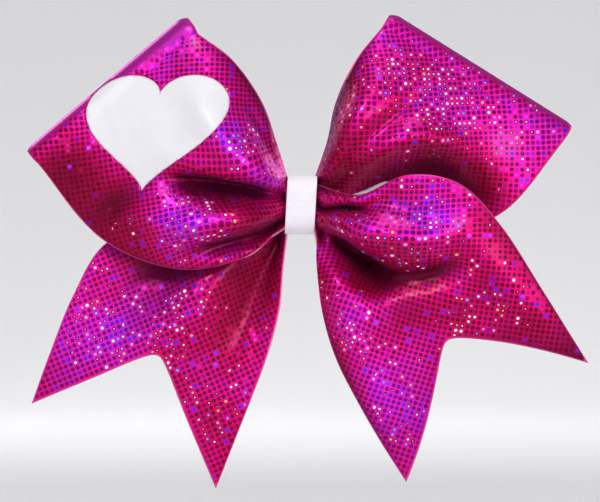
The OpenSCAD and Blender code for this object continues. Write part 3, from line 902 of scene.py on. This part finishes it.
def tube_mesh(name, rings, closed_ends):
    """Joins rings of points, each a closed loop, into a skin; the rings are in mm."""
    rings = np.asarray(rings)
    count, around = rings.shape[:2]
    faces = []
    last = count - 1 if closed_ends else count
    for i in range(last):
        k = (i + 1) % count
        for j in range(around):
            m = (j + 1) % around
            faces.append([i * around + j, i * around + m, k * around + m, k * around + j])
    if closed_ends:
        faces.append(list(range(around))[::-1])
        faces.append([(count - 1) * around + j for j in range(around)])
    mesh = new_mesh(name, (rings.reshape(-1, 3) * MM).tolist(), faces)
    mesh.update()
    return placed(name, mesh)


WRAP_T = 0.5
RIB_PITCH = 0.62
RIB_DEPTH = 0.09
WRAP_LEAN = 0.055


def centre_wrap():
    """Grosgrain band round the knot and the clip's front jaw, with ribs across it; wrap_end makes its lapped
    end.
    """
    jaw_y = wrap_high[1] - 0.85
    clip_half = 4.0
    jaw = [(jaw_y, -clip_half), (jaw_y, clip_half)]
    outline = convex_outline(core_circle_points(0.06) + jaw)
    per_rib = 8
    perimeter = even_ring(outline, 400)[2]
    ribs = round(perimeter / RIB_PITCH)
    ring, out, _ = even_ring(outline, ribs * per_rib)
    half = (wrap_high[0] - wrap_low[0]) / 2 - 0.05
    edge = 0.12
    section = [(-half, 0), (-half, WRAP_T - edge), (-half + edge, WRAP_T), (-half + 0.7, WRAP_T)]
    section += [(x, WRAP_T) for x in np.linspace(-half + 1.2, half - 1.2, 9)]
    section += [(half - 0.7, WRAP_T), (half - edge, WRAP_T), (half, WRAP_T - edge), (half, 0)]
    rings = []
    for k in range(len(ring)):
        rib = RIB_DEPTH * (abs(math.sin(math.pi * k / per_rib)) - 0.6)
        points = []
        for x, height in section:
            lift = height + (rib if height > WRAP_T / 2 else 0)
            y, z = ring[k] + out[k] * lift
            points.append((x + WRAP_LEAN * z, y, z))
        rings.append(points)
    return tube_mesh("grosgrain_wrap", rings[::-1], False)


def wrap_end():
    """The wrap's cut end, lapped and glued over its start behind the clip's jaw."""
    y0 = wrap_high[1] - 0.30
    half_x, half_z = 4.9, 3.5
    rows, cols = 24, 14
    top = []
    for i in range(rows + 1):
        z = -half_z + 2 * half_z * i / rows
        line = []
        for j in range(cols + 1):
            x = -half_x + 2 * half_x * j / cols
            rib = 0.05 * abs(math.sin(math.pi * (z + half_z) / RIB_PITCH))
            inset = min(half_x - abs(x), half_z - abs(z))
            line.append((x, y0 + 0.04 + 0.2 * min(1, inset / 0.3) + rib, z))
        top.append(line)
    grid = np.array(top) - [0, KNOT_Y, 0]
    zero = np.zeros(grid.shape[:2])
    return sheet_mesh("wrap_lapped_end", grid, 1, -0.2, 0, {"rim": zero})


# The core is plain foil with painted shade.
CORE_MARKS = {"rim": 1.0, "bare": 1.0, "painted_shade": 0.55}
CORE_STEPS = 160
CORE_PLEATS = 26


def pleated_core():
    """The squeezed middle of the ribbon, seen only at its two ends beside the wrap."""
    ring, out, _ = even_ring(convex_outline(core_circle_points(-0.1)), CORE_STEPS)
    wave = np.cos(np.arange(CORE_STEPS) / CORE_STEPS * 2 * math.pi * CORE_PLEATS)[:, None]
    rings = []
    length = core_high[0] - core_low[0]
    for x, inset in ((0, 2.4), (0.15, 1.0), (0.5, 0.35), (1.1, 0.05), (length / 2, 0),
                     (length - 1.1, 0.05), (length - 0.5, 0.35), (length - 0.15, 1.0), (length, 2.4)):
        ripple = 0.16 * wave * (inset > 0.01)
        loop = ring - out * (inset + ripple)
        rings.append([(core_low[0] + x, y, z) for y, z in loop])
    obj = tube_mesh("pleated_core", rings, True)
    layer = obj.data.uv_layers.new(name="ribbon")
    for loop in obj.data.loops:
        x, y, z = obj.data.vertices[loop.vertex_index].co / MM
        layer.data[loop.index].uv = (x / MAP_UNIT, math.atan2(z, y - CORE_Y))
    for key in ("bare", "rim", "painted_sheen_and_shade", "sparks", "painted_shade"):
        attribute = obj.data.attributes.new(key, "FLOAT", "POINT")
        attribute.data.foreach_set("value", [CORE_MARKS.get(key, 0.0)] * len(obj.data.vertices))
    return obj


# ---- Clip spring ----

WIRE_D = 0.7
COIL_TURNS = 3.5
COIL_PITCH = 0.78
COIL_R = 1.5
LEG_Z = COIL_TURNS * COIL_PITCH / 2


def wire_mesh(name, line, diameter, sides=14):
    """A round wire with closed, rounded ends along a line that runs nearly level."""
    line = np.asarray(line, float)
    ahead = np.gradient(line, axis=0)
    ahead /= np.linalg.norm(ahead, axis=1, keepdims=True)
    up = np.array([0, 0, 1.0]) - ahead * ahead[:, 2:]
    up /= np.linalg.norm(up, axis=1, keepdims=True)
    side = np.cross(ahead, up)
    angles = np.linspace(0, 2 * math.pi, sides, endpoint=False)
    rings = []
    for k, point in enumerate(line):
        r = diameter / 2
        rings.append([point + r * (math.cos(a) * up[k] + math.sin(a) * side[k]) for a in angles])
    first = [line[0] - ahead[0] * 0.08 + 0.75 * (np.array(p) - line[0]) for p in rings[0]]
    last = [line[-1] + ahead[-1] * 0.08 + 0.75 * (np.array(p) - line[-1]) for p in rings[-1]]
    return tube_mesh(name, [first] + rings + [last], True)


def spring_pieces(pivot):
    """The torsion spring: coils with the leg on the front jaw, and the leg on the lever."""
    def coil(f):
        a = math.radians(-90) + 2 * math.pi * COIL_TURNS * f
        return (pivot[0] + COIL_R * math.cos(a), pivot[1] + COIL_R * math.sin(a),
                COIL_PITCH * COIL_TURNS * (f - 0.5))

    front_leg = along([(pivot[0] - 8, pivot[1] - 2.7, -LEG_Z), (pivot[0] - 5.2, pivot[1] - 2.1, -LEG_Z),
                       (pivot[0] - 2.4, pivot[1] - COIL_R - 0.05, -LEG_Z)], np.linspace(0, 1, 14))
    coils = [coil(f) for f in np.linspace(0, 1, 150)]
    body = wire_mesh("spring_coils", list(map(tuple, front_leg)) + coils, WIRE_D)
    lever_leg = along([(pivot[0], pivot[1] + COIL_R, LEG_Z),
                       (pivot[0] - 3.4, pivot[1] + COIL_R + 0.1, LEG_Z),
                       (pivot[0] - 6, pivot[1] + 2.7, LEG_Z),
                       (pivot[0] - 9, pivot[1] + 4, LEG_Z)], np.linspace(0, 1, 30))
    leg = wire_mesh("spring_lever_leg", list(map(tuple, lever_leg)), WIRE_D)
    return body, leg


# ---- Stage ----

def studio():
    """Pale bowl-shaped backdrop, which lights() fills with soft lights; also the view transform and the
    world.
    """
    floor_z = -0.15
    flat, rise, sides = 1.7, 1.7, 96
    profile = [(flat * 0.5, floor_z), (flat, floor_z)]
    for i in range(1, 25):
        a = math.pi / 2 * i / 24
        profile.append((flat + rise * math.sin(a), floor_z + rise * (1 - math.cos(a))))
    points = [(r * math.cos(2 * math.pi * k / sides), r * math.sin(2 * math.pi * k / sides), z)
              for r, z in profile for k in range(sides)]
    faces = []
    for i in range(len(profile) - 1):
        for k in range(sides):
            m = (k + 1) % sides
            faces.append([i * sides + k, i * sides + m, (i + 1) * sides + m, (i + 1) * sides + k])
    faces.append(list(range(sides))[::-1])
    mesh = new_mesh("backdrop", points, faces)
    bowl = placed("backdrop", mesh)
    g = Graph("pale backdrop")
    where = g.add("TexCoord", output="Object")
    colour = g.mix(g.noise(where, 1.2), (0.79, 0.79, 0.80, 1), (0.82, 0.82, 0.83, 1))
    g.shade(Base_Color=colour, Roughness=0.9)
    mesh.materials.append(g.material)
    bpy.context.scene.view_settings.view_transform = "Standard"
    world = bpy.data.worlds.new("world")
    bpy.context.scene.world = world
    world.use_nodes = True
    world.node_tree.nodes["Background"].inputs["Color"].default_value = (0.95, 0.96, 1.0, 1)
    world.node_tree.nodes["Background"].inputs["Strength"].default_value = 0.25


def area_light(name, place, aim, size, watts, colour):
    data = bpy.data.lights.new(name, "AREA")
    data.shape = "DISK"
    data.size = size
    data.energy = watts
    data.color = colour
    light = placed(name, data)
    light.location = place
    direction = Vector([float(v) for v in np.array(aim) - place])
    light.rotation_euler = direction.to_track_quat("-Z", "Y").to_euler()
    light.visible_camera = False


def lights():
    """Soft lights round the bow, and a ring of lights aimed out at the backdrop."""
    aim = (0, -0.01, 0)
    area_light("key", (-0.35, -1.1, 0.95), aim, 0.30, 8.5, (1.0, 0.97, 1.0))
    area_light("front_fill", (0.75, -1.2, 0.15), aim, 0.4, 5.5, (0.96, 0.92, 1.0))
    area_light("top", (0.1, 0.0, 1.2), aim, 0.5, 3, (1.0, 1.0, 1.0))
    area_light("back_key", (-0.8, 1.1, 0.8), aim, 0.5, 6, (1.0, 0.98, 1.0))
    area_light("back_fill", (0.9, 0.9, 0.2), aim, 0.6, 3, (1.0, 0.98, 1.0))
    for k in range(6):
        a = 2 * math.pi * (k + 0.5) / 6
        place = (1.2 * math.cos(a), 1.2 * math.sin(a), 0.9)
        aim = (3.0 * math.cos(a), 3.0 * math.sin(a), 0.1)
        area_light(f"backdrop_{k}", place, aim, 0.6, 12, (1.0, 1.0, 1.0))


# ---- Making the bow ----

def paint(obj, material):
    obj.data.materials.clear()
    obj.data.materials.append(material)


def stand_in(obj, node):
    """Puts a piece on the bow in place of a CAD node."""
    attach(obj, "bow")
    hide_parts(node)


def declare(obj, node):
    """A layer of folded ribbon in place of a CAD node."""
    stand_in(obj, node)


def joined(objects):
    """Makes several objects into the first of them."""
    with bpy.context.temp_override(active_object=objects[0], selected_editable_objects=objects):
        bpy.ops.object.join()
    return objects[0]


def section_grids():
    """The middle surfaces of the four sections, with the layers near the knot kept apart. Each
    comes with its face's side, whether it is a tail and the widths of its plain band."""
    left_going = loop_pass(LEFT_FRONT, LEFT_END, FRONT_ROWS)
    left_coming = loop_pass(LEFT_BACK, LEFT_END, BACK_ROWS)
    right_going = loop_pass(RIGHT_FRONT, RIGHT_END, FRONT_ROWS)
    right_coming = loop_pass(RIGHT_BACK, RIGHT_END, BACK_ROWS)
    left_tail = grid_of(LEFT_TAIL, np.linspace(0, 1, TAIL_ROWS), LEFT_NOTCH)
    right_tail = grid_of(RIGHT_TAIL, np.linspace(0, 1, TAIL_ROWS), RIGHT_NOTCH)
    for first, second, third in ((left_going, left_tail, left_coming),
                                 (right_tail, right_going, right_coming)):
        set_behind(second, first)
        set_behind(third, second)
        set_behind(third, first)
    return {
        "left_loop": (loop_grid(left_going, left_coming, LEFT_CORNERS, LEFT_END), -1, False, (9, 4)),
        "right_loop": (loop_grid(right_going, right_coming, RIGHT_CORNERS, RIGHT_END), 1, False, (5, 4)),
        "left_tail": (left_tail, -1, True, None),
        "right_tail": (right_tail, 1, True, None),
    }


def make_ribbons(dotted):
    """The face and lining of each section, and the heart in the left loop's window."""
    parts = section_grids()
    backing = white_ribbon("white grosgrain backing", True)
    for name, (grid, side, is_tail, band) in parts.items():
        front = None if is_tail else MID_TURN
        # Painted shade from the depth of folds and from the SHADES spots.
        painted_shade = np.clip(fold_shade_share(grid) + spots(grid, SHADES.get(name, [])), 0, 1)
        if front:
            painted_shade[front:] = 0
        extras = {
            "rim": rim_distance(grid, is_tail),
            "bare": np.zeros(grid.shape[:2]) if band is None else bare_band(grid, *band),
            "painted_sheen_and_shade": spots(grid, SHEEN_AND_SHADE_SPOTS[name], front),
            "sparks": spots(grid, SPARKS[name], front),
            "painted_shade": painted_shade,
        }
        flat = flat_coordinates(grid, ribbon_coordinates(grid))
        pattern = turned(flat, TAIL_TURN if is_tail else LOOP_TURN)
        for kind, material, layout in (("face", dotted, pattern), ("lining", backing, flat)):
            shape = grid
            if kind == "lining" and name in PEEKS:
                shape = peek(grid, TAIL_ROWS if is_tail else FRONT_ROWS, *PEEKS[name])
            obj = ribbon(f"{name}_{kind}_ribbon", shape, side, kind, layout, extras)
            paint(obj, material)
            if name == "left_loop" and kind == "face":
                cut(obj, heart_prism("window_cutter", HEART_HALF + WINDOW_GAP), "DIFFERENCE")
            declare(obj, f"{name}_{kind}")
    grid = parts["left_loop"][0]
    heart = sheet_mesh("white_heart", grid, -1, *HEART_LAYER, {"rim": rim_distance(grid, False)})
    add_ribbon_map(heart, ribbon_coordinates(grid))
    paint(heart, white_ribbon("white satin", False))
    cut(heart, heart_prism("heart_cutter", HEART_HALF), "INTERSECT")
    stand_in(heart, "heart_inlay")


def make_centre(dotted, grosgrain):
    core = pleated_core()
    paint(core, dotted)
    stand_in(core, "pinched_centre")
    band = joined([centre_wrap(), wrap_end()])
    paint(band, grosgrain)
    stand_in(band, "centre_wrap")


def make_clip():
    pivot = np.array(frame["joints"][0]["pos_m"]) / MM
    nickel = plated_steel("nickel plate", (0.60, 0.59, 0.57), 0.22)
    wire = plated_steel("spring wire", (0.56, 0.56, 0.58), 0.28)
    coils, leg = spring_pieces(pivot)
    for piece, body in ((coils, "bow"), (leg, "rear_jaw")):
        paint(piece, wire)
        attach(piece, body)
    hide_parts("clip_spring")
    for node in ("clip_front_jaw", "clip_rear_jaw", "clip_hinge_pin"):
        paint(frame["nodes"][node], nickel)
    nylon = soft_plastic("nylon", (0.80, 0.80, 0.76, 1), (0.70, 0.70, 0.66, 1), 0.4, 900.0)
    glue = soft_plastic("hot glue", (0.80, 0.77, 0.64, 1), (0.68, 0.63, 0.5, 1), 0.25, 500.0)
    paint(frame["nodes"]["cable_tie"], nylon)
    paint(frame["nodes"]["glue_pad"], glue)


make_camera()
dotted = dotted_fabric()
make_ribbons(dotted)
make_centre(dotted, ribbed_white())
make_clip()
studio()
lights()
